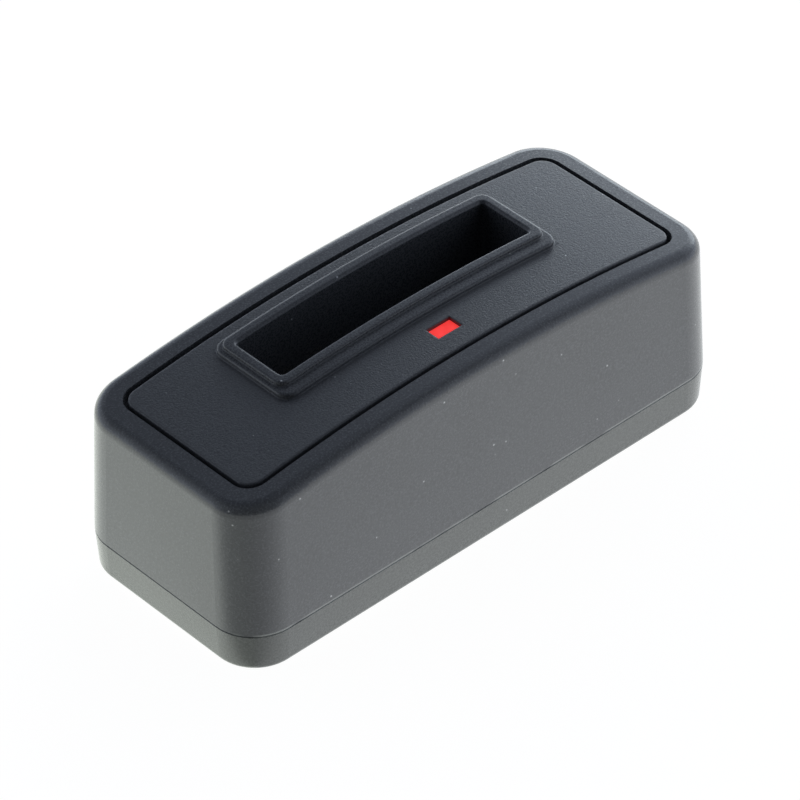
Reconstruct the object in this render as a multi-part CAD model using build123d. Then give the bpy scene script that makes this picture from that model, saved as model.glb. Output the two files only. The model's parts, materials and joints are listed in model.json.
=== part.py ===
from build123d import *
from math import cos, pi, sin
import os

# Desk charger for one thin camera battery: slot in the top, USB socket in the back
# Millimetres; +Z is up, +X is the long side, the front with the charge light faces -Y

# Battery that the slot takes
battery_width = 35.2
battery_thickness = 6.7
battery_play = 0.35

# Upper housing, sizes at the seam between housing and base
length = 70.0
width = 28.6
corner_radius = 5.4
housing_height = 19.3
draft = 1.95
crown_radius = 212.0
wall = 1.6
top_round = 1.5

# Base cover
base_height = 5.0
base_draft = 3.6
base_floor = 1.8
base_round = 0.7
seam_bevel = 0.2
lip_height = 1.4
lip_thickness = 0.9
lip_gap = 0.12

# Battery plate and the stepped recess that it drops into
panel_inset = 3.87
panel_radius = 2.1
groove = 0.55
plate_thickness = 1.4
plate_round = 0.2
ledge_width = 1.2
ledge_thickness = 1.2
seat_gap = 0.05

# Collar and well around the slot
collar_margin = 1.73
slot_radius = 0.5
mouth_bevel = 0.3
rim_wall = 1.3
rim_radius = 1.2
rim_height = 1.1
rim_round = 0.22
ring_step = 0.6
ring_front_step = 1.5
ring_radius = 1.6
ring_height = 0.6
ring_round = 0.3
well_wall = 1.2
well_floor = 1.2

# Snap hooks of the plate
hook_spacing = 44.0
hook_width = 4.0
hook_thickness = 1.0
hook_gap = 0.15
hook_catch = 0.55
hook_nose = 1.2

# Charge light
window_length = 3.4
window_width = 2.0
window_setback = 3.65
window_recess = 0.42
pipe_gap = 0.05
pipe_flange = 0.9
pipe_flange_thickness = 1.0
led_length = 2.0
led_width = 1.25
led_height = 0.8
led_lens = 1.2
led_gap = 0.3

# Feet and case screws
foot_names = ("front_left", "back_left", "front_right", "back_right")
foot_diameter = 6.0
foot_thickness = 1.3
foot_proud = 0.5
foot_gap = 0.1
foot_bevel = 0.25
screw_inset = 4.65
screw_diameter = 2.0
screw_length = 9.0
head_diameter = 4.0
head_height = 1.4
head_bevel = 0.4
head_gap = 0.15
hole_gap = 0.2
thread_gap = 0.03
pillar_wall = 1.05
boss_wall = 1.6
boss_gap = 0.05
web_thickness = 1.2
drive_length = 2.2
drive_width = 0.6
drive_depth = 0.7

# Circuit board and its screws
board_thickness = 1.2
board_gap = 0.6
board_radius = 1.0
post_height = 2.0
post_diameter = 4.2
post_inset = 3.2
board_screw_diameter = 2.0
board_screw_length = 3.8
board_head_diameter = 3.6
board_head_height = 1.2

# USB socket
usb_width = 7.6
usb_height = 2.75
usb_length = 5.6
usb_sheet = 0.3
usb_bevel = 0.8
usb_setback = 0.4
usb_gap = 0.25
tongue_width = 3.6
tongue_thickness = 0.65
tongue_setback = 0.9
tongue_root = 1.6
terminal_pitch = 0.65
terminal_width = 0.35
terminal_thickness = 0.15
terminal_tail = 0.8
tab_length = 1.6
tab_width = 0.9

# Sprung battery contacts
contact_names = ("plus", "sense", "minus")
contact_pitch = 4.5
contact_margin = 5.6
barrel_diameter = 2.2
barrel_length = 4.9
barrel_bore = 1.7
barrel_floor = 0.6
barrel_lip = 0.35
barrel_gap = 0.02
tail_diameter = 0.9
tail_length = 1.8
tail_gap = 0.1
pin_diameter = 1.2
pin_fit = 0.05
pin_head_height = 0.9
pin_stop_gap = 0.03
pin_rise = 1.9
pin_tip_round = 0.5
pin_hole_gap = 0.3
spring_wire = 0.2
spring_turns = 4
spring_corners = 8
spring_gap = 0.03
block_height = 3.2
block_margin = 1.7
block_radius = 0.4
floor_gap = 0.2

# Charge circuit parts on the board
chip_length = 4.9
chip_width = 3.9
chip_height = 1.4
chip_lift = 0.1
chip_gap = 3.2
lead_pitch = 1.27
lead_width = 0.42
lead_thickness = 0.2
lead_reach = 1.05
capacitor_length = 3.2
capacitor_width = 1.6
capacitor_height = 1.5
capacitor_cap = 0.5
capacitor_step = 0.05
resistor_length = 2.0
resistor_width = 1.25
resistor_height = 0.5
resistor_count = 4
part_gap = 1.2

# Heights that follow from the sizes above
base_bottom_z = foot_proud
seam_z = base_bottom_z + base_height
crown_z = seam_z + housing_height
crown_centre_z = crown_z - crown_radius
floor_z = base_bottom_z + base_floor
board_z = floor_z + post_height
board_top_z = board_z + board_thickness
barrel_top_z = board_top_z + barrel_length
well_bottom_z = barrel_top_z + floor_gap
well_floor_z = well_bottom_z + well_floor
pin_tip_z = well_floor_z + pin_rise
foot_seat_z = foot_thickness
head_seat_z = foot_seat_z + foot_gap + head_height
lip_top_z = seam_z + lip_height
pillar_top_z = lip_top_z + lip_gap
boss_z = pillar_top_z + boss_gap
screw_top_z = head_seat_z + screw_length
plate_under_z = crown_z - plate_thickness
tongue_low_z = board_top_z + usb_height / 2
pin_head_top_z = barrel_top_z - barrel_lip - pin_stop_gap
pin_head_low_z = pin_head_top_z - pin_head_height

# Outlines that follow from the sizes above
slot_length = battery_width + 2 * battery_play
slot_width = battery_thickness + 2 * battery_play
rim_length = slot_length + 2 * rim_wall
rim_width = slot_width + 2 * rim_wall
ring_length = rim_length + 2 * ring_step
ring_width = rim_width + ring_step + ring_front_step
plate_length = length - 2 * panel_inset - groove
plate_width = width - 2 * panel_inset - groove
recess_length = plate_length + 2 * groove
recess_width = plate_width + 2 * groove
through_length = recess_length - 2 * ledge_width
through_width = recess_width - 2 * ledge_width
lip_inset = wall + lip_gap
base_wall = lip_inset + lip_thickness
pillar_radius = head_diameter / 2 + head_gap + pillar_wall
boss_radius = screw_diameter / 2 + thread_gap + boss_wall

# Places that follow from the sizes above
ring_y = plate_width / 2 - collar_margin - ring_width / 2
slot_y = ring_y + (ring_front_step - ring_step) / 2
window_y = window_setback - plate_width / 2
screw_x = length / 2 - screw_inset
screw_y = width / 2 - screw_inset
screw_points = [(sx * screw_x, sy * screw_y) for sx in (-1, 1) for sy in (-1, 1)]
board_length = 2 * (screw_x - pillar_radius - board_gap)
board_width = width - 2 * base_wall - 2 * board_gap
post_x = board_length / 2 - post_inset
post_y = board_width / 2 - post_inset
post_points = [(sx * post_x, sy * post_y) for sx in (-1, 1) for sy in (-1, 1)]
board_screw_points = [(-post_x, -post_y), (post_x, post_y)]
contact_points = [
    (-slot_length / 2 + contact_margin + i * contact_pitch, slot_y) for i in range(len(contact_names))
]
block_left = contact_points[0][0] - barrel_diameter / 2 - block_margin
block_right = contact_points[-1][0] + barrel_diameter / 2 + block_margin
usb_mouth_y = width / 2 - usb_setback
usb_back_y = usb_mouth_y - usb_length
chip_x = block_right + chip_gap + chip_length / 2
chip_y = slot_y
capacitor_x = chip_x + chip_length / 2 + part_gap + capacitor_length / 2
capacitor_y = (capacitor_width + part_gap) / 2


def prism(size_x, size_y, radius, low, high, x=0.0, y=0.0):
    """Upright block with rounded corners between two heights."""
    outline = Pos(x, y, low) * RectangleRounded(size_x, size_y, radius)
    return extrude(outline, amount=high - low)


def rod(diameter, low, high, x=0.0, y=0.0):
    """Upright cylinder between two heights."""
    return extrude(Pos(x, y, low) * Circle(diameter / 2), amount=high - low)


def block(size_x, size_y, low, high, x=0.0, y=0.0):
    """Upright box between two heights."""
    return Pos(x, y, (low + high) / 2) * Box(size_x, size_y, high - low)


def drafted(inset, height):
    """Block on the seam that leans in like the housing walls, moved in by the inset."""
    outline = Pos(0, 0, seam_z) * Rectangle(length - 2 * inset, width - 2 * inset)
    body = extrude(outline, amount=height, taper=draft)
    corners = body.edges().filter_by_position(Axis.Z, seam_z + height / 4, seam_z + 3 * height / 4)
    return fillet(corners, corner_radius - inset)


def under_crown(offset):
    """All that lies under the crowned top when it is raised by the offset."""
    return Pos(0, 0, crown_centre_z) * Rot(90, 0, 0) * Cylinder(crown_radius + offset, 2 * width)


def top_edges(solid):
    """Edges around the highest face of a solid."""
    return solid.faces().sort_by(Axis.Z)[-1].edges()


def bottom_edges(solid):
    """Edges around the lowest face of a solid."""
    return solid.faces().sort_by(Axis.Z)[0].edges()


def usb_port():
    """Opening that the USB socket takes in the back wall."""
    port_width = usb_width + 2 * usb_gap
    depth = width / 2
    low = board_top_z - usb_gap
    high = board_top_z + usb_height + usb_gap
    return block(port_width, depth, low, high, y=usb_back_y + depth / 2)


def screw_boss(x, y):
    """Boss of one case screw with two webs to the housing walls."""
    high = crown_z
    reach = screw_inset
    side_x = 1 if x > 0 else -1
    side_y = 1 if y > 0 else -1
    boss = rod(2 * boss_radius, boss_z, high, x, y)
    boss += block(reach, web_thickness, boss_z, high, x + side_x * reach / 2, y)
    boss += block(web_thickness, reach, boss_z, high, x, y + side_y * reach / 2)
    boss &= drafted(wall / 2, housing_height)
    return boss & under_crown(-plate_thickness - ledge_thickness / 2)


def make_upper_housing():
    """Crowned shell with the stepped recess for the battery plate."""
    body = drafted(0, housing_height) & under_crown(0)
    body = fillet(top_edges(body), top_round)
    body -= drafted(wall, housing_height) & under_crown(-plate_thickness - ledge_thickness)
    recess = prism(recess_length, recess_width, panel_radius + groove / 2, seam_z, crown_z + 1)
    body -= recess - under_crown(-plate_thickness)
    through_radius = panel_radius + groove / 2 - ledge_width
    body -= prism(through_length, through_width, through_radius, seam_z, crown_z + 1)
    for x, y in screw_points:
        body += screw_boss(x, y)
    for x, y in screw_points:
        body -= rod(screw_diameter + 2 * thread_gap, boss_z, screw_top_z + 1, x, y)
    return body - usb_port()


def snap_hook(x, side):
    """One hook that catches under the ledge of the housing; side is +1 at the back, -1 at the front."""
    face_y = through_width / 2 - hook_gap
    sag = crown_radius - (crown_radius**2 - (abs(x) + hook_width / 2) ** 2) ** 0.5
    low = plate_under_z - sag - ledge_thickness - hook_gap - hook_nose
    leg = block(hook_width, hook_thickness, low, crown_z, x, side * (face_y - hook_thickness / 2))
    leg &= under_crown(-plate_thickness / 2)
    nose = Plane.YZ * Polygon(
        (face_y, low),
        (face_y + hook_catch, low + hook_nose / 2),
        (face_y + hook_catch, crown_z),
        (face_y, crown_z),
        align=None,
    )
    nose = Pos(x - hook_width / 2, 0, 0) * extrude(nose, amount=hook_width)
    nose &= under_crown(-plate_thickness - ledge_thickness - hook_gap)
    if side < 0:
        nose = mirror(nose, about=Plane.XZ)
    return leg + nose


def make_battery_plate():
    """Crowned panel with the two-step collar, the well under it and four hooks."""
    panel = prism(plate_length, plate_width, panel_radius - groove / 2, seam_z, crown_z + 1)
    panel &= under_crown(0)
    panel = fillet(top_edges(panel), plate_round)
    panel -= under_crown(seat_gap - plate_thickness)
    ring = prism(ring_length, ring_width, ring_radius, seam_z, crown_z + 5, y=ring_y)
    ring &= under_crown(ring_height)
    ring = fillet(top_edges(ring), ring_round)
    ring -= under_crown(-plate_thickness / 2)
    rim = prism(rim_length, rim_width, rim_radius, well_bottom_z, crown_z + 5, y=slot_y)
    rim &= under_crown(rim_height)
    rim = fillet(top_edges(rim), rim_round)
    well_length = slot_length + 2 * well_wall
    well_width = slot_width + 2 * well_wall
    well = prism(well_length, well_width, slot_radius + well_wall, well_bottom_z, crown_z, y=slot_y)
    well &= under_crown(-plate_thickness / 2)
    body = panel + ring + rim + well
    body -= prism(slot_length, slot_width, slot_radius, well_floor_z, crown_z + 5, y=slot_y)
    mouth = body.faces().sort_by(Axis.Z)[-1].inner_wires()[0]
    body = chamfer(mouth.edges(), mouth_bevel)
    body -= block(window_length, window_width, plate_under_z - 1, crown_z + 1, y=window_y)
    for x, y in contact_points:
        body -= rod(pin_diameter + 2 * pin_hole_gap, well_bottom_z, well_floor_z, x, y)
    for x in (-hook_spacing / 2, hook_spacing / 2):
        for side in (-1, 1):
            body += snap_hook(x, side)
    return body


def make_base_cover():
    """Tray with a lip into the housing, screw pillars and board posts."""
    outline = RectangleRounded(length, width, corner_radius)
    outer = extrude(outline, amount=base_height, taper=base_draft)
    outer = fillet(top_edges(outer), base_round)
    outer = chamfer(bottom_edges(outer), seam_bevel)
    outer = Pos(0, 0, seam_z) * Rot(180, 0, 0) * outer
    solid = outer + drafted(lip_inset, pillar_top_z - seam_z)
    cavity_radius = corner_radius - base_wall
    body = outer + drafted(lip_inset, lip_height)
    body -= prism(length - 2 * base_wall, width - 2 * base_wall, cavity_radius, floor_z, pillar_top_z)
    for x, y in screw_points:
        body += rod(2 * pillar_radius, base_bottom_z, pillar_top_z, x, y) & solid
    for x, y in screw_points:
        body -= rod(screw_diameter + 2 * hole_gap, base_bottom_z, pillar_top_z, x, y)
        body -= rod(head_diameter + 2 * head_gap, base_bottom_z, head_seat_z, x, y)
        body -= rod(foot_diameter + 2 * foot_gap, base_bottom_z, foot_seat_z, x, y)
    for x, y in post_points:
        body += rod(post_diameter, floor_z - base_floor / 2, board_z, x, y)
    for x, y in board_screw_points:
        low = board_top_z - board_screw_length - hole_gap
        body -= rod(board_screw_diameter + 2 * thread_gap, low, board_z, x, y)
    return body - usb_port()


def make_foot(x, y):
    """Rubber disc in a recess of the base."""
    foot = rod(foot_diameter, 0, foot_thickness, x, y)
    return chamfer(bottom_edges(foot), foot_bevel)


def cross_recess(x, y, low, high):
    """Cross in a screw head."""
    bar = block(drive_length, drive_width, low, high, x, y)
    return bar + block(drive_width, drive_length, low, high, x, y)


def make_case_screws():
    """Four screws that pull the base up against the housing bosses."""
    screws = []
    for x, y in screw_points:
        head_low = head_seat_z - head_height
        head = rod(head_diameter, head_low, head_seat_z, x, y)
        head = chamfer(bottom_edges(head), head_bevel)
        screw = head + rod(screw_diameter, head_seat_z, screw_top_z, x, y)
        screws.append(screw - cross_recess(x, y, head_low, head_low + drive_depth))
    return screws


def make_board_screws():
    """Two screws that hold the board on its posts."""
    screws = []
    for x, y in board_screw_points:
        head_top = board_top_z + board_head_height
        head = rod(board_head_diameter, board_top_z, head_top, x, y)
        head = chamfer(top_edges(head), head_bevel)
        screw = head + rod(board_screw_diameter, board_top_z - board_screw_length, board_top_z, x, y)
        screws.append(screw - cross_recess(x, y, head_top - drive_depth, head_top))
    return screws


def make_main_board():
    """Circuit board with holes for its screws and the contact tails."""
    board = prism(board_length, board_width, board_radius, board_z, board_top_z)
    for x, y in board_screw_points:
        board -= rod(board_screw_diameter + 2 * hole_gap, board_z, board_top_z, x, y)
    for x, y in contact_points:
        board -= rod(tail_diameter + 2 * tail_gap, board_z, board_top_z, x, y)
    return board


def usb_outline(inset):
    """Section of the socket, moved in by the inset, as a face that looks to the back."""
    half = usb_width / 2 - inset
    low = board_top_z + inset
    high = board_top_z + usb_height - inset
    bevel = usb_bevel
    return Plane.XZ * Polygon(
        (-half, high),
        (-half, low + bevel),
        (-half + bevel, low),
        (half - bevel, low),
        (half, low + bevel),
        (half, high),
        align=None,
    )


def along_back(face, low_y, high_y):
    """Push an XZ face into a bar between two depths."""
    return Pos(0, high_y, 0) * extrude(face, amount=high_y - low_y)


def make_usb_shell():
    """Sheet shell of the socket with two solder tabs."""
    shell = along_back(usb_outline(0), usb_back_y, usb_mouth_y)
    shell -= along_back(usb_outline(usb_sheet), usb_back_y, usb_mouth_y)
    for side in (-1, 1):
        tab_x = side * (usb_width / 2 - usb_bevel / 2)
        tab_y = usb_back_y + tab_length
        reach = tab_width + usb_bevel
        tab_x += side * reach / 4
        tab = block(reach, tab_length, board_top_z, board_top_z + usb_sheet, tab_x, tab_y)
        shell += tab - along_back(usb_outline(usb_sheet), usb_back_y, usb_mouth_y)
    return shell


def make_usb_terminals():
    """Five contact strips on the tongue, each with a tail on the board."""
    run_top = tongue_low_z + terminal_thickness
    tail_top = board_top_z + terminal_thickness
    front_y = usb_mouth_y - tongue_setback - terminal_thickness
    bend_y = usb_back_y - terminal_thickness / 2
    tail_y = usb_back_y - terminal_tail / 2
    run_length = front_y - usb_back_y
    strips = []
    for i in range(-2, 3):
        x = i * terminal_pitch
        strip = block(terminal_width, run_length, tongue_low_z, run_top, x, front_y - run_length / 2)
        strip += block(terminal_width, terminal_thickness, board_top_z, run_top, x, bend_y)
        strip += block(terminal_width, terminal_tail, board_top_z, tail_top, x, tail_y)
        strips.append(strip)
    return strips


def make_usb_tongue(terminals):
    """Moulded root in the shell with the tongue that the plug slides over."""
    low = tongue_low_z
    root = along_back(usb_outline(usb_sheet), usb_back_y, usb_back_y + tongue_root)
    tongue_y = usb_mouth_y - tongue_setback
    tongue = block(
        tongue_width, tongue_y - usb_back_y, low, low + tongue_thickness, 0, (tongue_y + usb_back_y) / 2
    )
    body = root + tongue
    for strip in terminals:
        body -= strip
    return body


def make_indicator_led():
    """Surface mounted light under the light pipe."""
    shoulder_z = board_top_z + led_height / 2
    foot = block(led_length, led_width, board_top_z, shoulder_z, y=window_y)
    return foot + block(led_lens, led_width, shoulder_z, board_top_z + led_height, y=window_y)


def make_light_pipe():
    """Clear bar from the light up into the window of the plate, with a flange under the plate."""
    low = board_top_z + led_height + led_gap
    top = crown_z - window_recess
    bar = block(window_length - 2 * pipe_gap, window_width - 2 * pipe_gap, low, top, y=window_y)
    flange_top = plate_under_z - seat_gap
    flange = block(
        window_length + 2 * pipe_flange,
        window_width + 2 * pipe_flange,
        flange_top - pipe_flange_thickness,
        flange_top,
        y=window_y,
    )
    return bar + flange


def make_contact_block():
    """Moulded holder of the three contact barrels, seated on the board."""
    block_width = barrel_diameter + 2 * block_margin
    middle = (block_left + block_right) / 2
    block_length = block_right - block_left
    high = board_top_z + block_height
    body = prism(block_length, block_width, block_radius, board_top_z, high, middle, slot_y)
    for x, y in contact_points:
        body -= rod(barrel_diameter + 2 * barrel_gap, board_top_z, high, x, y)
    return body


def make_barrel(x, y):
    """Contact sleeve with a lip that keeps the pin in and a tail through the board."""
    body = rod(barrel_diameter, board_top_z, barrel_top_z, x, y)
    body += rod(tail_diameter, board_top_z - tail_length, board_top_z, x, y)
    body -= rod(barrel_bore, board_top_z + barrel_floor, barrel_top_z - barrel_lip, x, y)
    return body - rod(pin_diameter + 2 * pin_fit, barrel_top_z - barrel_lip, barrel_top_z, x, y)


def make_pin(x, y):
    """Contact pin with a head inside the barrel and a rounded tip in the slot."""
    stem = rod(pin_diameter, pin_head_top_z, pin_tip_z, x, y)
    stem = fillet(top_edges(stem), pin_tip_round)
    return stem + rod(barrel_bore - 2 * pin_fit, pin_head_low_z, pin_head_top_z, x, y)


def make_spring(x, y):
    """Coil between the barrel floor and the head of the pin."""
    low = board_top_z + barrel_floor + spring_gap + spring_wire / 2
    high = pin_head_low_z - spring_gap - spring_wire / 2
    radius = barrel_bore / 2 - 2 * pin_fit - spring_wire / 2
    steps = spring_turns * spring_corners
    turn = 2 * pi / spring_corners
    rise = (high - low) / steps
    corners = [(radius * cos(i * turn), radius * sin(i * turn), i * rise) for i in range(steps + 1)]
    path = Polyline(corners)
    wire = Plane(origin=path @ 0, z_dir=path % 0) * Rectangle(spring_wire, spring_wire)
    return Pos(x, y, low) * sweep(wire, path=path, transition=Transition.RIGHT)


def make_charge_controller():
    """Eight-lead charge chip."""
    high = board_top_z + chip_height
    body = block(chip_length, chip_width, board_top_z + chip_lift, high, chip_x, chip_y)
    shoulder_z = board_top_z + chip_height / 2
    for side in (-1, 1):
        for i in range(4):
            x = chip_x + (i - 1.5) * lead_pitch
            edge = chip_width / 2
            knee = edge + lead_reach / 2
            toe = edge + lead_reach
            outline = Plane.YZ * Polygon(
                (edge - lead_thickness, shoulder_z),
                (knee, shoulder_z),
                (knee, board_top_z),
                (toe, board_top_z),
                (toe, board_top_z + lead_thickness),
                (knee + lead_thickness, board_top_z + lead_thickness),
                (knee + lead_thickness, shoulder_z + lead_thickness),
                (edge - lead_thickness, shoulder_z + lead_thickness),
                align=None,
            )
            lead = extrude(outline, amount=lead_width)
            if side < 0:
                lead = mirror(lead, about=Plane.XZ)
            body += Pos(x - lead_width / 2, chip_y, 0) * lead
    return body


def make_capacitor(x, y):
    """Ceramic chip capacitor with raised end caps."""
    high = board_top_z + capacitor_height
    core_width = capacitor_width - 2 * capacitor_step
    body = block(capacitor_length, core_width, board_top_z + capacitor_step, high - capacitor_step, x, y)
    for side in (-1, 1):
        cap_x = x + side * (capacitor_length - capacitor_cap) / 2
        body += block(capacitor_cap, capacitor_width, board_top_z, high, cap_x, y)
    return body


def make_board_resistors():
    """Row of chip resistors in front of the charge chip."""
    row_y = chip_y - chip_width / 2 - lead_reach - part_gap - resistor_length / 2
    high = board_top_z + resistor_height
    pitch = resistor_width + part_gap
    chips = []
    for i in range(resistor_count):
        x = chip_x + (i - (resistor_count - 1) / 2) * pitch
        chips.append(block(resistor_width, resistor_length, board_top_z, high, x, row_y))
    return chips


usb_terminals = make_usb_terminals()
nodes = {
    "upper_housing": make_upper_housing(),
    "battery_plate": make_battery_plate(),
    "base_cover": make_base_cover(),
    "case_screws": make_case_screws(),
    "board_screws": make_board_screws(),
    "main_board": make_main_board(),
    "usb_shell": make_usb_shell(),
    "usb_tongue": make_usb_tongue(usb_terminals),
    "usb_terminals": usb_terminals,
    "indicator_led": make_indicator_led(),
    "light_pipe": make_light_pipe(),
    "contact_block": make_contact_block(),
    "charge_controller": make_charge_controller(),
    "input_capacitor": make_capacitor(capacitor_x, chip_y + capacitor_y),
    "output_capacitor": make_capacitor(capacitor_x, chip_y - capacitor_y),
    "board_resistors": make_board_resistors(),
}
for foot_name, (foot_x, foot_y) in zip(foot_names, screw_points):
    nodes["foot_" + foot_name] = make_foot(foot_x, foot_y)
for contact_name, (contact_x, contact_y) in zip(contact_names, contact_points):
    nodes["barrel_" + contact_name] = make_barrel(contact_x, contact_y)
    nodes["spring_" + contact_name] = make_spring(contact_x, contact_y)
    nodes["pin_" + contact_name] = make_pin(contact_x, contact_y)

os.makedirs("parts", exist_ok=True)
for node_name, shape in nodes.items():
    if isinstance(shape, list):
        solids = [solid for item in shape for solid in item.solids()]
    else:
        solids = list(shape.solids())
    export_step(Compound(children=solids), os.path.join("parts", node_name + ".step"))
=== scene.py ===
import json
import math

import bpy
from mathutils import Matrix, Vector

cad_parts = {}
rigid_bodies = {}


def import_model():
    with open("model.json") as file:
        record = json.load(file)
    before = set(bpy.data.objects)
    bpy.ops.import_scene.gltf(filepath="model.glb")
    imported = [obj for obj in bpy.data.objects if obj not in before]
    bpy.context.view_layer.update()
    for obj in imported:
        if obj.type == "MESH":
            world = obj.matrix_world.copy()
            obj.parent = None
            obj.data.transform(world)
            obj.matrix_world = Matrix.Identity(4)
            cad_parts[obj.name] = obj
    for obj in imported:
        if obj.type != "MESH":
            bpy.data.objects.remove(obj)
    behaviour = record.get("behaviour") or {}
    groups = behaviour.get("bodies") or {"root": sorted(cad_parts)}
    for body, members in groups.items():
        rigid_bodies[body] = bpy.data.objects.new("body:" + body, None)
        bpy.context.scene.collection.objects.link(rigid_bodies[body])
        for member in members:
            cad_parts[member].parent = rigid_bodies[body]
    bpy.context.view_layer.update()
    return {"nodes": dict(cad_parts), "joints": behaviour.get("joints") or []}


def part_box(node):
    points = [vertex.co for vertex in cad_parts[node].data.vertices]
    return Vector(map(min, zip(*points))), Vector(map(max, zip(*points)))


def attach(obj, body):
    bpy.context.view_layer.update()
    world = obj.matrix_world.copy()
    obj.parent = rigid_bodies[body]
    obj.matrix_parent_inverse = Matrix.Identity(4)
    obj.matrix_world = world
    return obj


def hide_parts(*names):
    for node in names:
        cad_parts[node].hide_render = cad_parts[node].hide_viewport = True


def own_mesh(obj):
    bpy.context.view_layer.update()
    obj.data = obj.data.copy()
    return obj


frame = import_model()
nodes = frame["nodes"]
MM = 0.001
WHITE = (1, 1, 1, 1)
UP = Vector((0, 0, 1))

# Camera, from a fit of the photograph's edges
IMAGE_PX = 800
SENSOR_MM = 36.0
FOCAL_PX = 4963.4
AZIMUTH = math.radians(-42.119)
ELEVATION = math.radians(39.385)
ROLL = math.radians(-0.882)
DISTANCE = 537.65 * MM
TARGET = Vector((-0.564, 0.0, 11.306)) * MM
NEAR_CLIP = 10 * MM
ACROSS = Vector((math.cos(AZIMUTH), math.sin(AZIMUTH), 0))
TO_CAMERA = Vector((math.sin(AZIMUTH), -math.cos(AZIMUTH), 0))

# Dome: sines of its heights, levels there behind the object and on the camera's side, tint
DOME_HEIGHTS = (0.0, 0.30, 0.55, 0.80)
BACK_LEVELS = (1.4, 0.71, 0.45, 0.08)
FRONT_LEVELS = (0.0, 0.0, 0.0, 0.08)
FRONT_EDGE = (0.1, 0.7)
DOME_TINT = (0.90, 1.0, 1.18, 1)

# Dim soft panel high on the right: direction, cosines where it starts and is full, level
PANEL_WAY = Vector((0.68, 0.12, 0.72)).normalized()
PANEL_EDGE = (0.88, 0.96)
PANEL_LEVEL = 0.42

# Soft lamp behind: direction from the object, distance, width and height, watts, colour, aim
LAMP_WAY = Vector((0.84, 0.50, 0.21))
LAMP_DISTANCE = 0.60
LAMP_SIZE = (0.50, 0.18)
LAMP_POWER = 0.72
LAMP_COLOUR = (0.91, 1.0, 1.05)
LAMP_AIM = Vector((0, 0, 12)) * MM

# White table: size, gap under the feet, paper, share of its own light, level that the camera sees
FLOOR_SIZE = 6.0
FLOOR_DROP = 0.05 * MM
FLOOR_COLOURS = ((0.86, 0.86, 0.86, 1), (0.87, 0.87, 0.87, 1))
FLOOR_CLOUD = 40 * MM
FLOOR_ROUGHNESS = 0.9
FLOOR_GLOW = 0.86
SEEN_LEVEL = 1.125

# Light of the table to the left and right of the camera, and the dim wedge between them
LEFT_LEVEL = 1.95
RIGHT_LEVEL = 1.53
LEFT_TINT = (0.955, 1.0, 0.93, 1)
RIGHT_TINT = (0.98, 1.0, 1.0, 1)
SIDE_EDGE = (-0.5, 0.5)
WEDGE_TIP = Vector((-33.5, -13.2, 0)) * MM
WEDGE_TURN = math.radians(25)
WEDGE_WAY = TO_CAMERA * math.cos(WEDGE_TURN) - ACROSS * math.sin(WEDGE_TURN)
WEDGE_SIDE = ACROSS * math.cos(WEDGE_TURN) + TO_CAMERA * math.sin(WEDGE_TURN)
WEDGE_LEFT_RAMP = (0.38, 0.80)
WEDGE_RIGHT_RAMP = (-0.26, 0.99)
WEDGE_LEVEL = 0.40

# Range that most values of a noise lie in
NOISE_SPAN = (0.3, 0.7)

# Moulded plastic: grain with its shades, depths and roughness, clouding, specks of dust
PLASTIC_IOR = 1.5
GRAIN_SIZE = 0.24 * MM
GRAIN_DARKER = 0.72
GRAIN_LIGHTER = 1.30
GRAIN_SPAN = (0.25, 0.75)
GRAIN_ROUGHENS = 0.07
GRAIN_STRENGTH = 0.8
CASE_GRAIN_DEPTH = 0.02 * MM
PLATE_GRAIN_DEPTH = 0.06 * MM
CLOUD_SIZE = 14 * MM
CLOUD_SHARE = 0.25
DUST_CELL = 1.7 * MM
DUST_RADIUS = 0.15 * MM
DUST_CORE = 0.4
DUST_SHARE = 0.18
DUST_COLOUR = (0.62, 0.63, 0.64, 1)

# Collar of the battery plate, which is moulded smooth: middle and half size in plan
COLLAR_MIDDLE = Vector((0, 2.375, 0)) * MM
COLLAR_HALF = Vector((19.95, 6.15, 0)) * MM
COLLAR_EDGE = 0.2 * MM
COLLAR_SMOOTHER = 0.08

# Softened edges of the battery plate, and the spots of wear along them, which are painted lighter as a
# painted highlight
SOFT_EDGE = 0.32 * MM
SOFT_SAMPLES = 8
WEAR_FACING = (0.995, 0.85)
WEAR_SIZE = 0.5 * MM
WEAR_SPAN = (0.42, 0.62)
WEAR_LEAST = 0.1
WEAR_AND_HIGHLIGHT_SHARE = 0.8
WEAR_ROUGHENS = 0.5
# Lighter colour of the edges: a painted highlight, partly wear
WEAR_AND_HIGHLIGHT_COLOUR = (0.17, 0.175, 0.19, 1)

# Seam between housing and base: height, reach, breaks, open end on the left, and the lighter colour
# painted along it as painted light over the shade of its groove
SEAM_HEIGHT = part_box("upper_housing")[0].z
SEAM_REACH = 0.24 * MM
SEAM_CORE = 0.6
SEAM_BREAKS = 5 * MM
SEAM_BREAK_SPAN = (0.38, 0.50)
SEAM_OPEN_END = (-34.7 * MM, -33.8 * MM)
# Lighter colour along the seam: painted light over the shade of its groove
SEAM_PAINTED_LIGHT_COLOUR = (0.27, 0.283, 0.278, 1)

# Plated metal: drawn marks, tarnish
MARK_SIZE = 0.05 * MM
MARK_LENGTH = 0.6 * MM
MARK_SMOOTHS = 0.06
MARK_ROUGHENS = 0.08
MARK_DEPTH = 0.004 * MM
MARK_STRENGTH = 0.3
TARNISH_SIZE = 1.5 * MM
TARNISH_SPAN = (0.35, 0.7)
TARNISH_SHARE = 0.6
TARNISH_DARKER = 0.7

# Circuit board: greens and roughness of the mask, tracks under it
MASK_GREENS = ((0.010, 0.085, 0.030, 1), (0.016, 0.12, 0.045, 1))
MASK_CLOUD = 6 * MM
MASK_ROUGHNESS = (0.3, 0.42)
TRACK_GREEN = (0.03, 0.20, 0.08, 1)
TRACK_SPACING = 5.0 * MM
TRACK_EDGE = (0.05, 0.08)
TRACK_DEPTH = 0.03 * MM
TRACK_STRENGTH = 0.5

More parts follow.
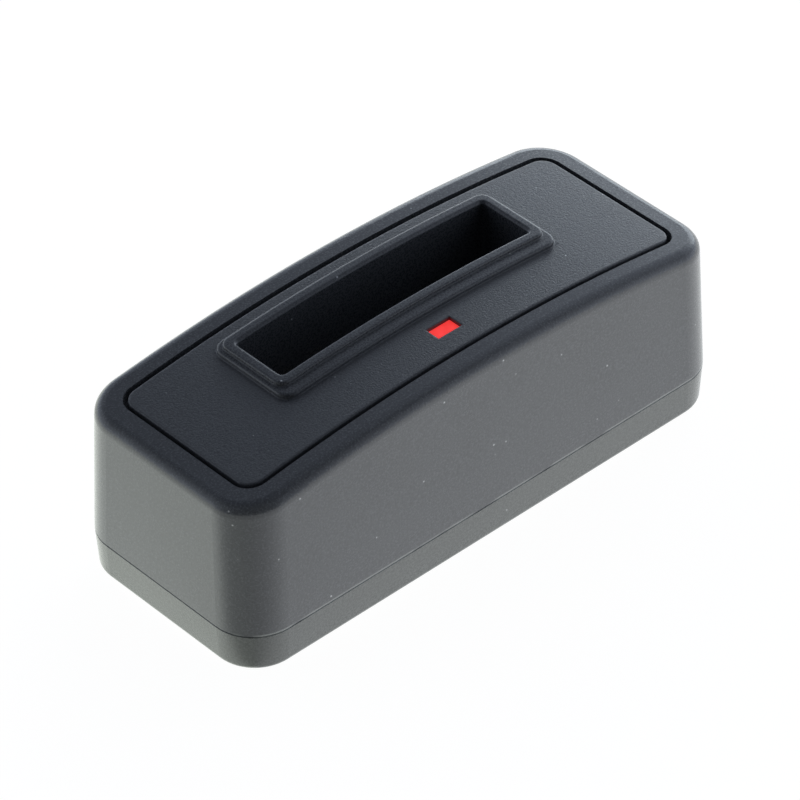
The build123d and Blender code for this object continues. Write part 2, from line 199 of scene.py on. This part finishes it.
# Small fired or moulded parts: mottle
MOTTLE_DARKER = 0.75
MOTTLE_LIGHTER = 1.15
MOTTLE_ROUGHENS = 0.05
MOTTLE_DEPTH = 0.01 * MM
MOTTLE_STRENGTH = 0.4

# Red window of the charge light
LENS_REDS = ((0.82, 0.040, 0.036, 1), (0.90, 0.052, 0.050, 1))
LENS_CLOUD = 0.9 * MM
LENS_ROUGHNESS = (0.42, 0.52)
LENS_GLOW = 0.9
LENS_SHEEN = 0.15

# Contact springs: wire, turns, closed turns at each end and their pitch in wires, steps in a turn
SPRING_WIRE = 0.2 * MM
SPRING_TURNS = 4
SPRING_CLOSED = 0.75
SPRING_PITCH = 1.05
SPRING_STEPS = 24
SPRING_ROUNDNESS = 2


def add_camera():
    """Camera at the photograph's viewing angle."""
    back = TO_CAMERA * math.cos(ELEVATION) + UP * math.sin(ELEVATION)
    rise = back.cross(ACROSS)
    right = ACROSS * math.cos(ROLL) + rise * math.sin(ROLL)
    up = rise * math.cos(ROLL) - ACROSS * math.sin(ROLL)
    data = bpy.data.cameras.new("camera")
    data.sensor_width = SENSOR_MM
    data.lens = SENSOR_MM * FOCAL_PX / IMAGE_PX
    data.clip_start = NEAR_CLIP
    camera = bpy.data.objects.new("camera", data)
    bpy.context.collection.objects.link(camera)
    turn = Matrix((right, up, back)).transposed().to_4x4()
    camera.matrix_world = Matrix.Translation(TARGET + back * DISTANCE) @ turn
    bpy.context.scene.camera = camera


def add_node(tree, kind, settings=None, **inputs):
    """New shader node with its settings and input values."""
    made = tree.nodes.new(kind)
    for name, value in (settings or {}).items():
        setattr(made, name, value)
    for name, value in inputs.items():
        made.inputs[name.replace("_", " ")].default_value = value
    return made


def feed(tree, socket, value):
    """Give an input a fixed value, or link another node's output to it."""
    if isinstance(value, bpy.types.NodeSocket):
        tree.links.new(value, socket)
    else:
        socket.default_value = value


def new_material(name):
    """Plain node material with its tree, principled shader and object coordinates."""
    material = bpy.data.materials.new(name)
    material.use_nodes = True
    tree = material.node_tree
    shader = tree.nodes["Principled BSDF"]
    place = add_node(tree, "ShaderNodeTexCoord").outputs["Object"]
    return material, tree, shader, place


def shade(colour, factor):
    """Colour with full alpha, darker or lighter by a factor."""
    return [factor * channel for channel in colour] + [1]


def noise(tree, place, size, detail=2.0, roughness=0.5):
    """Noise with features of the given size."""
    made = add_node(tree, "ShaderNodeTexNoise", Scale=1 / size, Detail=detail, Roughness=roughness)
    feed(tree, made.inputs["Vector"], place)
    return made.outputs["Fac"]


def remap(tree, value, span, to_span=(0, 1)):
    """Linear change of range, held at its ends."""
    made = add_node(tree, "ShaderNodeMapRange", From_Min=span[0], From_Max=span[1])
    made.inputs["To Min"].default_value = to_span[0]
    made.inputs["To Max"].default_value = to_span[1]
    feed(tree, made.inputs["Value"], value)
    return made.outputs["Result"]


def blend_colour(tree, factor, first, second, mode="MIX"):
    """Mix of two colours, each a fixed colour or a socket."""
    made = add_node(tree, "ShaderNodeMix", {"data_type": "RGBA", "blend_type": mode})
    sockets = {socket.identifier: socket for socket in (*made.inputs, *made.outputs)}
    feed(tree, sockets["Factor_Float"], factor)
    feed(tree, sockets["A_Color"], first)
    feed(tree, sockets["B_Color"], second)
    return sockets["Result_Color"]


def math_node(tree, operation, first, second=0):
    """One sum of two numbers, each fixed or a socket."""
    made = add_node(tree, "ShaderNodeMath", {"operation": operation})
    feed(tree, made.inputs[0], first)
    feed(tree, made.inputs[1], second)
    return made.outputs["Value"]


def vector_node(tree, operation, first, second=(0, 0, 0)):
    """One sum of two vectors, each fixed or a socket."""
    made = add_node(tree, "ShaderNodeVectorMath", {"operation": operation})
    feed(tree, made.inputs[0], first)
    feed(tree, made.inputs[1], second)
    return made.outputs["Value" if operation == "DOT_PRODUCT" else "Vector"]


def axes_of(tree, vector):
    """Outputs X, Y and Z of a vector."""
    split = add_node(tree, "ShaderNodeSeparateXYZ")
    feed(tree, split.inputs["Vector"], vector)
    return split.outputs


def bump(tree, shader, height, depth, strength):
    """Bump on the shader from a height between 0 and 1."""
    made = add_node(tree, "ShaderNodeBump", Distance=depth, Strength=strength)
    feed(tree, made.inputs["Height"], height)
    feed(tree, shader.inputs["Normal"], made.outputs["Normal"])
    return made


def dust(tree, place):
    """Mask of sparse bright specks, one in some of the cells."""
    cells = add_node(tree, "ShaderNodeTexVoronoi", Scale=1 / DUST_CELL)
    feed(tree, cells.inputs["Vector"], place)
    edge = DUST_RADIUS / DUST_CELL
    spot = remap(tree, cells.outputs["Distance"], (edge, DUST_CORE * edge))
    pick = add_node(tree, "ShaderNodeSeparateColor")
    feed(tree, pick.inputs["Color"], cells.outputs["Color"])
    chosen = math_node(tree, "LESS_THAN", pick.outputs["Red"], DUST_SHARE)
    return math_node(tree, "MULTIPLY", spot, chosen)


def collar_mask(tree, place):
    """1 on the collar of the battery plate, 0 on the panel around it."""
    axes = axes_of(tree, vector_node(tree, "SUBTRACT", place, COLLAR_MIDDLE))
    masks = []
    for axis, half in zip("XY", COLLAR_HALF):
        span = math_node(tree, "ABSOLUTE", axes[axis])
        masks.append(remap(tree, span, (half, half - COLLAR_EDGE)))
    return math_node(tree, "MULTIPLY", *masks)


def edge_wear_and_highlight(tree, place, soft_normal):
    """Mask of wear along the edges, where the softened normal leaves the true one; it also carries the
    painted highlight of the edges.
    """
    true_normal = add_node(tree, "ShaderNodeNewGeometry").outputs["Normal"]
    facing = vector_node(tree, "DOT_PRODUCT", soft_normal, true_normal)
    edge = remap(tree, facing, WEAR_FACING)
    uneven = noise(tree, place, WEAR_SIZE, detail=3, roughness=0.7)
    spots = remap(tree, uneven, WEAR_SPAN, (WEAR_LEAST, 1))
    return math_node(tree, "MULTIPLY", math_node(tree, "MULTIPLY", edge, spots), WEAR_AND_HIGHLIGHT_SHARE)


def seam_painted_light_mask(tree, place):
    """Broken mask along the seam where lighter colour is painted over the shade of its groove, except
    at the open left end.
    """
    axes = axes_of(tree, place)
    span = math_node(tree, "ABSOLUTE", math_node(tree, "SUBTRACT", axes["Z"], SEAM_HEIGHT))
    line = remap(tree, span, (SEAM_REACH, SEAM_CORE * SEAM_REACH))
    # Stretches of the seam that get the painted light, and none at the left end
    lit_stretches = remap(tree, noise(tree, place, SEAM_BREAKS), SEAM_BREAK_SPAN)
    closed = remap(tree, axes["X"], SEAM_OPEN_END)
    return math_node(tree, "MULTIPLY", line, math_node(tree, "MULTIPLY", lit_stretches, closed))


def eroded_grain(tree, place):
    """Fine grain of a spark-eroded mould."""
    return noise(tree, place, GRAIN_SIZE, detail=3, roughness=0.6)


def grained_colour(tree, place, grain, colour):
    """Colour of moulded plastic with its grain, faint clouding and a little dust."""
    light = shade(colour, GRAIN_LIGHTER)
    cloud = noise(tree, place, CLOUD_SIZE)
    mixed = blend_colour(tree, remap(tree, grain, NOISE_SPAN), shade(colour, GRAIN_DARKER), light)
    mixed = blend_colour(tree, remap(tree, cloud, NOISE_SPAN, (0, CLOUD_SHARE)), mixed, light)
    return blend_colour(tree, dust(tree, place), mixed, DUST_COLOUR)


def grained_roughness(tree, grain, roughness):
    """Roughness of moulded plastic, which changes with its grain."""
    return remap(tree, grain, GRAIN_SPAN, (roughness - GRAIN_ROUGHENS, roughness + GRAIN_ROUGHENS))


def case_plastic(name, colour, roughness):
    """Grained plastic of the housing or the base, with painted light along the seam that lifts the
    shade of its groove.
    """
    material, tree, shader, place = new_material(name)
    grain = eroded_grain(tree, place)
    mixed = grained_colour(tree, place, grain, colour)
    # Painted light: the seam is painted lighter so that the shade of its groove shows less
    mixed = blend_colour(tree, seam_painted_light_mask(tree, place), mixed, SEAM_PAINTED_LIGHT_COLOUR)
    feed(tree, shader.inputs["Base Color"], mixed)
    feed(tree, shader.inputs["Roughness"], grained_roughness(tree, grain, roughness))
    feed(tree, shader.inputs["IOR"], PLASTIC_IOR)
    bump(tree, shader, grain, CASE_GRAIN_DEPTH, GRAIN_STRENGTH)
    return material


def plate_plastic(name, colour, roughness):
    """Grained plastic of the battery plate, with a smooth collar and edges that carry wear and a
    painted highlight.
    """
    material, tree, shader, place = new_material(name)
    grain = eroded_grain(tree, place)
    collar = collar_mask(tree, place)
    relief = bump(tree, shader, grain, PLATE_GRAIN_DEPTH, GRAIN_STRENGTH)
    feed(tree, relief.inputs["Strength"], remap(tree, collar, (0, 1), (GRAIN_STRENGTH, 0)))
    rounded = add_node(tree, "ShaderNodeBevel", {"samples": SOFT_SAMPLES}, Radius=SOFT_EDGE)
    soft_normal = rounded.outputs["Normal"]
    feed(tree, relief.inputs["Normal"], soft_normal)
    # Spots of wear along the edges, which also carry a painted highlight
    wear_and_highlight = edge_wear_and_highlight(tree, place, soft_normal)
    mixed = grained_colour(tree, place, grain, colour)
    # Edges painted lighter: a painted highlight, broken into spots of wear
    feed(tree, shader.inputs["Base Color"], blend_colour(tree, wear_and_highlight, mixed, WEAR_AND_HIGHLIGHT_COLOUR))
    rough = grained_roughness(tree, grain, roughness)
    rough = math_node(tree, "SUBTRACT", rough, math_node(tree, "MULTIPLY", collar, COLLAR_SMOOTHER))
    rough = math_node(tree, "ADD", rough, math_node(tree, "MULTIPLY", wear_and_highlight, WEAR_ROUGHENS))
    feed(tree, shader.inputs["Roughness"], rough)
    feed(tree, shader.inputs["IOR"], PLASTIC_IOR)
    return material


def metal(name, colour, roughness):
    """Plated metal with fine drawn marks and a little tarnish."""
    material, tree, shader, place = new_material(name)
    stretch = add_node(tree, "ShaderNodeMapping", Scale=(1, 1, MARK_SIZE / MARK_LENGTH))
    feed(tree, stretch.inputs["Vector"], place)
    marks = noise(tree, stretch.outputs["Vector"], MARK_SIZE)
    tarnish = noise(tree, place, TARNISH_SIZE, detail=3)
    share = remap(tree, tarnish, TARNISH_SPAN, (0, TARNISH_SHARE))
    mixed = blend_colour(tree, share, shade(colour, 1), shade(colour, TARNISH_DARKER))
    feed(tree, shader.inputs["Base Color"], mixed)
    feed(tree, shader.inputs["Metallic"], 1.0)
    rough = remap(tree, marks, NOISE_SPAN, (roughness - MARK_SMOOTHS, roughness + MARK_ROUGHENS))
    feed(tree, shader.inputs["Roughness"], rough)
    bump(tree, shader, marks, MARK_DEPTH, MARK_STRENGTH)
    return material


def solder_mask(name):
    """Green circuit board with tracks that show through the mask."""
    material, tree, shader, place = new_material(name)
    to_edge = {"feature": "DISTANCE_TO_EDGE"}
    cells = add_node(tree, "ShaderNodeTexVoronoi", to_edge, Scale=1 / TRACK_SPACING)
    feed(tree, cells.inputs["Vector"], place)
    track = remap(tree, cells.outputs["Distance"], TRACK_EDGE, (1, 0))
    cloud = noise(tree, place, MASK_CLOUD)
    green = blend_colour(tree, cloud, *MASK_GREENS)
    feed(tree, shader.inputs["Base Color"], blend_colour(tree, track, green, TRACK_GREEN))
    feed(tree, shader.inputs["Roughness"], remap(tree, cloud, NOISE_SPAN, MASK_ROUGHNESS))
    bump(tree, shader, track, TRACK_DEPTH, TRACK_STRENGTH)
    return material


def speckled(name, colour, roughness, mottle_size):
    """Small fired or moulded part with a fine mottle."""
    material, tree, shader, place = new_material(name)
    mottle = noise(tree, place, mottle_size, detail=3)
    dark = shade(colour, MOTTLE_DARKER)
    light = shade(colour, MOTTLE_LIGHTER)
    mixed = blend_colour(tree, remap(tree, mottle, NOISE_SPAN), dark, light)
    feed(tree, shader.inputs["Base Color"], mixed)
    rough = remap(tree, mottle, NOISE_SPAN, (roughness - MOTTLE_ROUGHENS, roughness + MOTTLE_ROUGHENS))
    feed(tree, shader.inputs["Roughness"], rough)
    bump(tree, shader, mottle, MOTTLE_DEPTH, MOTTLE_STRENGTH)
    return material


def red_lens(name):
    """Lit red window plastic with faint clouding."""
    material, tree, shader, place = new_material(name)
    cloud = noise(tree, place, LENS_CLOUD)
    red = blend_colour(tree, remap(tree, cloud, NOISE_SPAN), *LENS_REDS)
    feed(tree, shader.inputs["Base Color"], red)
    feed(tree, shader.inputs["Emission Color"], red)
    feed(tree, shader.inputs["Emission Strength"], LENS_GLOW)
    feed(tree, shader.inputs["Specular IOR Level"], LENS_SHEEN)
    feed(tree, shader.inputs["Roughness"], remap(tree, cloud, NOISE_SPAN, LENS_ROUGHNESS))
    return material


def dress(material, *names):
    """Give CAD nodes a material in every slot."""
    for name in names:
        node = nodes[name]
        if not node.material_slots:
            node.data.materials.append(material)
        for slot in node.material_slots:
            slot.material = material


def names_from(*starts):
    """Names of the CAD nodes that start with one of the given words."""
    return [name for name in nodes if name.startswith(starts)]


def dress_case():
    """Materials of the outside, feet and window."""
    housing = case_plastic("housing_plastic", colour=(0.092, 0.096, 0.104), roughness=0.25)
    plate = plate_plastic("plate_plastic", colour=(0.078, 0.082, 0.090), roughness=0.36)
    base = case_plastic("base_plastic", colour=(0.102, 0.108, 0.106), roughness=0.27)
    rubber = speckled("foot_rubber", (0.018, 0.018, 0.018), roughness=0.8, mottle_size=0.25 * MM)
    dress(housing, "upper_housing")
    dress(plate, "battery_plate")
    dress(base, "base_cover")
    dress(rubber, *names_from("foot_"))
    dress(red_lens("red_lens"), "light_pipe")


def dress_inside():
    """Materials of the screws, the board with its circuit, the socket and the contacts."""
    steel = metal("zinc_steel", (0.55, 0.55, 0.57), roughness=0.32)
    nickel = metal("nickel_sheet", (0.62, 0.61, 0.58), roughness=0.28)
    black = speckled("black_moulding", (0.02, 0.02, 0.021), roughness=0.55, mottle_size=0.3 * MM)
    white = speckled("white_resin", (0.72, 0.70, 0.62), roughness=0.4, mottle_size=0.3 * MM)
    tan = speckled("tan_ceramic", (0.42, 0.30, 0.19), roughness=0.5, mottle_size=0.2 * MM)
    gold = metal("gold_plate", (0.83, 0.60, 0.26), roughness=0.25)
    dress(steel, "case_screws", "board_screws")
    dress(solder_mask("board_mask"), "main_board")
    dress(nickel, "usb_shell")
    dress(black, "usb_tongue", "contact_block", "charge_controller", "board_resistors")
    dress(white, "indicator_led")
    dress(tan, "input_capacitor", "output_capacitor")
    dress(gold, "usb_terminals", *names_from("barrel_", "pin_"))


def coil_points(middle, radius, low, high):
    """Line of a coil spring whose end turns lie close."""
    pitch = SPRING_WIRE * SPRING_PITCH
    closed = SPRING_CLOSED * pitch
    points = []
    for step in range(SPRING_TURNS * SPRING_STEPS + 1):
        turn = step / SPRING_STEPS
        share = (turn - SPRING_CLOSED) / (SPRING_TURNS - 2 * SPRING_CLOSED)
        height = low + closed + share * (high - low - 2 * closed)
        if share < 0:
            height = low + turn * pitch
        if share > 1:
            height = high - (SPRING_TURNS - turn) * pitch
        angle = 2 * math.pi * turn
        x = middle.x + radius * math.cos(angle)
        y = middle.y + radius * math.sin(angle)
        points.append((x, y, height, 1))
    return points


def wire_mesh(name, points):
    """Closed mesh of round spring wire along a line of points."""
    curve = bpy.data.curves.new(name, "CURVE")
    curve.dimensions = "3D"
    curve.bevel_depth = SPRING_WIRE / 2
    curve.bevel_resolution = SPRING_ROUNDNESS
    curve.use_fill_caps = True
    line = curve.splines.new("POLY")
    line.points.add(len(points) - 1)
    for point, place in zip(line.points, points):
        point.co = place
    drawn = bpy.data.objects.new(name, curve)
    mesh = bpy.data.meshes.new_from_object(drawn)
    bpy.data.objects.remove(drawn)
    mesh.shade_smooth()
    return mesh


def add_spring(joint, material):
    """Round wire spring of one contact, drawn in place of its CAD node and fixed to the joint's parent
    body.
    """
    deformed = joint["deforming_nodes"][0]
    node = deformed["node"]
    low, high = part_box(node)
    middle = (low + high) / 2
    radius = (high.x - low.x - SPRING_WIRE) / 2
    points = coil_points(middle, radius, low.z + SPRING_WIRE / 2, high.z - SPRING_WIRE / 2)
    coil = bpy.data.objects.new(node.replace("spring", "coil"), wire_mesh(node, points))
    bpy.context.collection.objects.link(coil)
    coil.data.materials.append(material)
    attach(coil, joint["parent"])
    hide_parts(node)
    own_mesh(coil)


def add_springs():
    """Contact springs of all the pins."""
    wire = metal("spring_wire", (0.50, 0.50, 0.51), roughness=0.35)
    for joint in frame["joints"]:
        add_spring(joint, wire)


def table_light(tree, place):
    """Strength and tint of the light that the table gives at each place."""
    way = vector_node(tree, "NORMALIZE", vector_node(tree, "SUBTRACT", place, WEDGE_TIP))
    right = remap(tree, vector_node(tree, "DOT_PRODUCT", way, ACROSS), SIDE_EDGE)
    level = remap(tree, right, (0, 1), (LEFT_LEVEL, RIGHT_LEVEL))
    ahead = vector_node(tree, "DOT_PRODUCT", way, WEDGE_WAY)
    side = math_node(tree, "GREATER_THAN", vector_node(tree, "DOT_PRODUCT", way, WEDGE_SIDE), 0)
    left_wedge = remap(tree, ahead, WEDGE_LEFT_RAMP, (1, WEDGE_LEVEL))
    right_wedge = remap(tree, ahead, WEDGE_RIGHT_RAMP, (1, WEDGE_LEVEL))
    wedge = blend_colour(tree, side, left_wedge, right_wedge)
    tint = blend_colour(tree, right, LEFT_TINT, RIGHT_TINT)
    return math_node(tree, "MULTIPLY", level, wedge), tint


def add_floor():
    """White table that keeps the shadow of the object, plain white to the camera."""
    bpy.ops.mesh.primitive_plane_add(size=FLOOR_SIZE, location=(0, 0, -FLOOR_DROP))
    floor = bpy.context.object
    floor.name = "floor"
    material, tree, shader, place = new_material("floor_paper")
    paper = remap(tree, noise(tree, place, FLOOR_CLOUD), NOISE_SPAN)
    feed(tree, shader.inputs["Base Color"], blend_colour(tree, paper, *FLOOR_COLOURS))
    feed(tree, shader.inputs["Roughness"], FLOOR_ROUGHNESS)
    level, tint = table_light(tree, place)
    seen = add_node(tree, "ShaderNodeLightPath").outputs["Is Camera Ray"]
    unseen = math_node(tree, "MULTIPLY", math_node(tree, "SUBTRACT", 1, seen), level)
    white = math_node(tree, "MULTIPLY", seen, SEEN_LEVEL)
    glow = add_node(tree, "ShaderNodeEmission")
    feed(tree, glow.inputs["Strength"], math_node(tree, "ADD", white, unseen))
    feed(tree, glow.inputs["Color"], blend_colour(tree, seen, tint, WHITE))
    mix = add_node(tree, "ShaderNodeMixShader", Fac=FLOOR_GLOW)
    feed(tree, mix.inputs[1], shader.outputs["BSDF"])
    feed(tree, mix.inputs[2], glow.outputs["Emission"])
    feed(tree, tree.nodes["Material Output"].inputs["Surface"], mix.outputs["Shader"])
    floor.data.materials.append(material)


def dome_level(tree, height, levels):
    """Level of the dome at a height, from its levels at the given heights."""
    ramp = add_node(tree, "ShaderNodeValToRGB")
    stops = ramp.color_ramp.elements
    while len(stops) < len(levels):
        stops.new(1)
    for stop, place, level in zip(stops, DOME_HEIGHTS, levels):
        stop.position = place
        stop.color = (level, level, level, 1)
    feed(tree, ramp.inputs["Fac"], height)
    return ramp.outputs["Color"]


def add_world():
    """Dome that is bright near the horizon behind the object, plain white to the camera."""
    world = bpy.data.worlds.new("studio")
    world.use_nodes = True
    tree = world.node_tree
    way = add_node(tree, "ShaderNodeTexCoord").outputs["Generated"]
    height = vector_node(tree, "DOT_PRODUCT", way, UP)
    behind = dome_level(tree, height, BACK_LEVELS)
    ahead = dome_level(tree, height, FRONT_LEVELS)
    front = remap(tree, vector_node(tree, "DOT_PRODUCT", way, TO_CAMERA), FRONT_EDGE)
    towards_panel = vector_node(tree, "DOT_PRODUCT", way, PANEL_WAY)
    panel = remap(tree, towards_panel, PANEL_EDGE, (0, PANEL_LEVEL))
    dome = blend_colour(tree, front, behind, ahead)
    dome = blend_colour(tree, 1, dome, panel, "ADD")
    dome = blend_colour(tree, 1, dome, DOME_TINT, "MULTIPLY")
    seen = add_node(tree, "ShaderNodeLightPath").outputs["Is Camera Ray"]
    feed(tree, tree.nodes["Background"].inputs["Color"], blend_colour(tree, seen, dome, WHITE))
    bpy.context.scene.world = world


def add_lamp():
    """Low soft lamp behind the object."""
    data = bpy.data.lights.new("back_softbox", "AREA")
    data.shape = "RECTANGLE"
    data.size, data.size_y = LAMP_SIZE
    data.energy = LAMP_POWER
    data.color = LAMP_COLOUR
    lamp = bpy.data.objects.new("back_softbox", data)
    bpy.context.collection.objects.link(lamp)
    lamp.location = LAMP_AIM + LAMP_WAY.normalized() * LAMP_DISTANCE
    lamp.rotation_euler = (LAMP_AIM - lamp.location).to_track_quat("-Z", "Y").to_euler()


dress_case()
dress_inside()
add_springs()
add_camera()
add_floor()
add_world()
add_lamp()
bpy.context.scene.view_settings.view_transform = "Standard"
